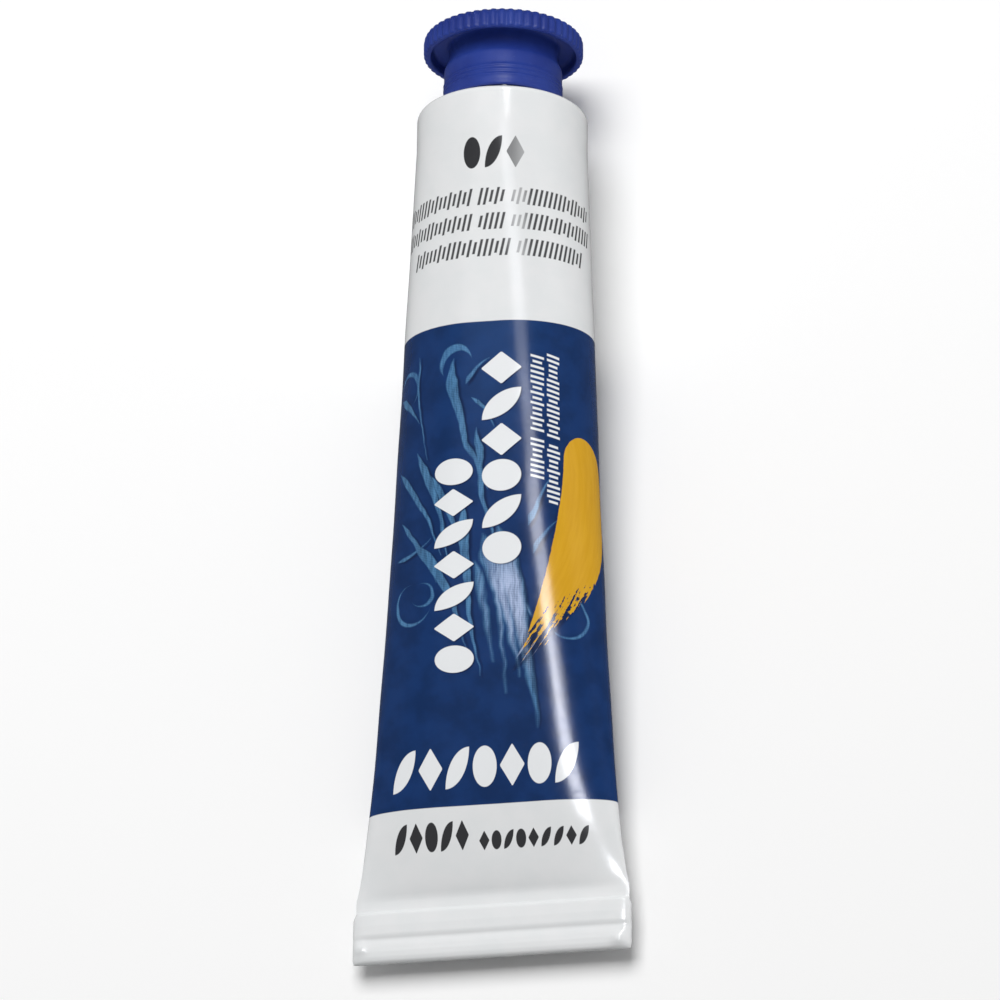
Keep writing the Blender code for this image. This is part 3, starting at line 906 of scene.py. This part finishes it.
def liner_foam():
    """Off-white foam with fine cells, darker in their pits as painted shade."""
    mat, tree, shader = material("liner_foam", 0.55)
    cells = tree.nodes.new("ShaderNodeTexVoronoi")
    cells.inputs["Scale"].default_value = 5.0
    tree.links.new(object_place(tree), cells.inputs["Vector"])
    pits = Field(tree, cells.outputs["Distance"])
    # Painted shade: the colour is darker in the cells' pits, where the bump sinks.
    colour = mix(tree, linear(206, 205, 198), linear(232, 232, 227), pits.ramp(0.1, 0.6))
    tree.links.new(colour, shader.inputs["Base Color"])
    bump(tree, shader, pits, 0.03)
    return mat


def latex():
    """Cloudy yellowish rubber."""
    mat, tree, shader = material("latex_band", 0.5)
    cloud = solid_noise(tree, 1.2, 4.0)
    colour = mix(tree, linear(196, 176, 120), linear(222, 205, 152), cloud.ramp(0.3, 0.7))
    tree.links.new(colour, shader.inputs["Base Color"])
    bump(tree, shader, cloud, 0.04)
    return mat


def dress(obj, *materials):
    """Gives an object these materials, in the order of its material numbers."""
    obj.data.materials.clear()
    for mat in materials:
        obj.data.materials.append(mat)


# Pieces -------------------------------------------------------------------------------------------

body = tube_body()
dress(body, enamel(), bare_metal())
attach(body, "tube")
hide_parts("tube_shell")

charge = paint_charge()
dress(charge, paint_material())
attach(charge, "tube")
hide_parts("paint")

cap = screw_cap()
dress(cap, cap_plastic())
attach(cap, "cap")
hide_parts("screw_cap")

dress(frame["nodes"]["cap_liner"], liner_foam())
dress(frame["nodes"]["end_seal"], latex())


# Stage --------------------------------------------------------------------------------------------

def to_world(x, y, z):
    """A place in the tube's frame, in millimetres, as a place in the scene."""
    return TUBE @ (Vector((x, y, z)) * MM)


FLOOR_HALF = 3.0


def floor():
    """A pale sheet that the tube lies on, which its reflections leave out."""
    mesh = bpy.data.meshes.new("floor")
    h = FLOOR_HALF
    corners = [(-h, -h, 0.0), (h, -h, 0.0), (h, h, 0.0), (-h, h, 0.0)]
    mesh.from_pydata(corners, [], [(0, 1, 2, 3)])
    obj = bpy.data.objects.new("floor", mesh)
    bpy.context.scene.collection.objects.link(obj)
    mat, tree, shader = material("floor_paper", 0.9)
    shader.inputs["Base Color"].default_value = (0.99, 0.99, 0.99, 1.0)
    shader.inputs["Specular IOR Level"].default_value = 0.0
    dress(obj, mat)
    obj.visible_glossy = False


def toward(across_deg, along_deg):
    """A direction by its lean to the right of the printed front, and its lean towards the cap."""
    across, along = math.radians(across_deg), math.radians(along_deg)
    flat = math.cos(along)
    return Vector((math.sin(across) * flat, math.sin(along), math.cos(across) * flat))


# Lights. Distances and widths are metres, and radiance is in watts per square metre and steradian.
FILL_DISTANCE = 0.8
STRIP_DISTANCE = 0.6
LIT_POINT = (0.0, -40.0, 0.0)
PLAIN = (1.0, 1.0, 1.0)
LILAC = (0.93, 0.94, 1.0)


def panel(name, near_end, far_end, distance, width, radiance, colour):
    """A light between two directions from the tube's middle, each (lean across, lean along) in degrees."""
    middle = to_world(*LIT_POINT)
    turn = TUBE.to_3x3()
    ends = [middle + turn @ toward(*end) * distance for end in (near_end, far_end)]
    centre = (ends[0] + ends[1]) * 0.5
    length = (ends[1] - ends[0]).length
    y_axis = (ends[1] - ends[0]).normalized()
    z_axis = (centre - middle).normalized()
    x_axis = y_axis.cross(z_axis).normalized()
    data = bpy.data.lights.new(name, "AREA")
    data.shape = "RECTANGLE"
    data.size, data.size_y = width, length
    data.energy = radiance * math.pi * width * length
    data.color = colour
    obj = bpy.data.objects.new(name, data)
    bpy.context.scene.collection.objects.link(obj)
    turned = Matrix((x_axis, y_axis, x_axis.cross(y_axis))).transposed().to_4x4()
    obj.matrix_world = Matrix.Translation(centre) @ turned
    obj.visible_camera = False
    return obj


def fill(name, near_end, far_end, width, radiance):
    """A wide light that isn't seen in reflections."""
    light = panel(name, near_end, far_end, FILL_DISTANCE, width, radiance, PLAIN)
    light.visible_glossy = False
    return light


def strip(name, near_end, far_end, width, radiance, colour=LILAC):
    """A narrow light that is seen only in reflections, as a highlight."""
    light = panel(name, near_end, far_end, STRIP_DISTANCE, width, radiance, colour)
    light.visible_diffuse = False
    return light


def only_on(light, pieces):
    """Makes a light shine on the given pieces alone, and takes shadows from them alone."""
    lit = bpy.data.collections.new(light.name + "_pieces")
    for piece in pieces:
        lit.objects.link(piece)
    light.light_linking.receiver_collection = lit
    light.light_linking.blocker_collection = lit


def world(diffuse, glossy, seen):
    """Even surroundings: how bright they are as light, in reflections, and to look at."""
    scene_world = bpy.data.worlds.new("studio")
    scene_world.use_nodes = True
    tree = scene_world.node_tree
    back = tree.nodes["Background"]
    back.inputs["Color"].default_value = (1.0, 1.0, 1.0, 1.0)
    path = tree.nodes.new("ShaderNodeLightPath")
    level = Field(tree, path.outputs["Is Camera Ray"]) * (seen - diffuse) + diffuse
    level = level + Field(tree, path.outputs["Is Glossy Ray"]) * (glossy - diffuse)
    tree.links.new(level.socket, back.inputs["Strength"])
    bpy.context.scene.world = scene_world


# Camera, in the tube's frame. It looks at the target from the crimp's side, CAM_RISE above the axis, leaning
# to the right of the printed front by CAM_LEAN. It is spun by CAM_SPIN about its line of sight and moved to
# its right and up by CAM_SLIDE. CAM_FOCUS is its focal length in sensor widths.
CAM_RISE = math.radians(69.344)
CAM_LEAN = math.radians(11.507)
CAM_SPIN = math.radians(-0.751)
CAM_DISTANCE = 631.366
CAM_SLIDE = (0.315, 3.808)
CAM_FOCUS = 5.820624
CAM_TARGET = Vector((0.0, -45.0, 0.0))
SENSOR = 36.0


def camera():
    """The camera at its place, with the tube upright in the picture and the cap at the top."""
    c, s = math.cos(CAM_LEAN), math.sin(CAM_LEAN)
    rise_c, rise_s = math.cos(CAM_RISE), math.sin(CAM_RISE)
    level = Vector((c, 0.0, -s))
    upward = Vector((s * rise_c, rise_s, c * rise_c))
    back = Vector((s * rise_s, -rise_c, c * rise_s))
    right = math.cos(CAM_SPIN) * level - math.sin(CAM_SPIN) * upward
    up = math.sin(CAM_SPIN) * level + math.cos(CAM_SPIN) * upward
    at = CAM_TARGET + CAM_DISTANCE * back + CAM_SLIDE[0] * right + CAM_SLIDE[1] * up
    data = bpy.data.cameras.new("camera")
    data.sensor_width = SENSOR
    data.lens = CAM_FOCUS * SENSOR
    data.clip_start, data.clip_end = 0.05, 20.0
    obj = bpy.data.objects.new("camera", data)
    bpy.context.scene.collection.objects.link(obj)
    turned = TUBE.to_3x3() @ Matrix((right, up, back)).transposed()
    obj.matrix_world = Matrix.Translation(to_world(*at)) @ turned.to_4x4()
    bpy.context.scene.camera = obj


floor()
fill("overhead", (-5.0, 6.0), (-5.0, 47.0), width=0.5, radiance=5.9)
only_on(fill("side_right", (64.0, -10.0), (64.0, 30.0), width=0.4, radiance=3.5), (body, cap))
only_on(fill("side_left", (-64.0, -10.0), (-64.0, 30.0), width=0.4, radiance=1.9), (body, cap))
only_on(fill("under_flange", (0.0, -82.0), (0.0, -56.0), width=0.6, radiance=4.5), (cap,))
strip("strip_low", (11.0, -1.3), (14.2, 7.0), width=0.085, radiance=24.0)
strip("strip_middle", (14.3, 7.0), (12.8, 13.5), width=0.125, radiance=11.5)
strip("strip_upper", (12.0, 13.5), (15.5, 21.0), width=0.15, radiance=1.9)
rim_light = strip("strip_rim", (17.0, 28.0), (17.5, 72.0), width=0.06, radiance=11.0, colour=PLAIN)
only_on(rim_light, (body,))
only_on(strip("strip_cap", (18.2, 22.5), (19.0, 31.0), width=0.045, radiance=8.0), (cap,))
strip("glow", (12.0, 4.0), (16.0, 30.0), width=0.13, radiance=0.7)
world(diffuse=0.25, glossy=0.11, seen=1.0)
camera()
bpy.context.scene.view_settings.view_transform = "Standard"
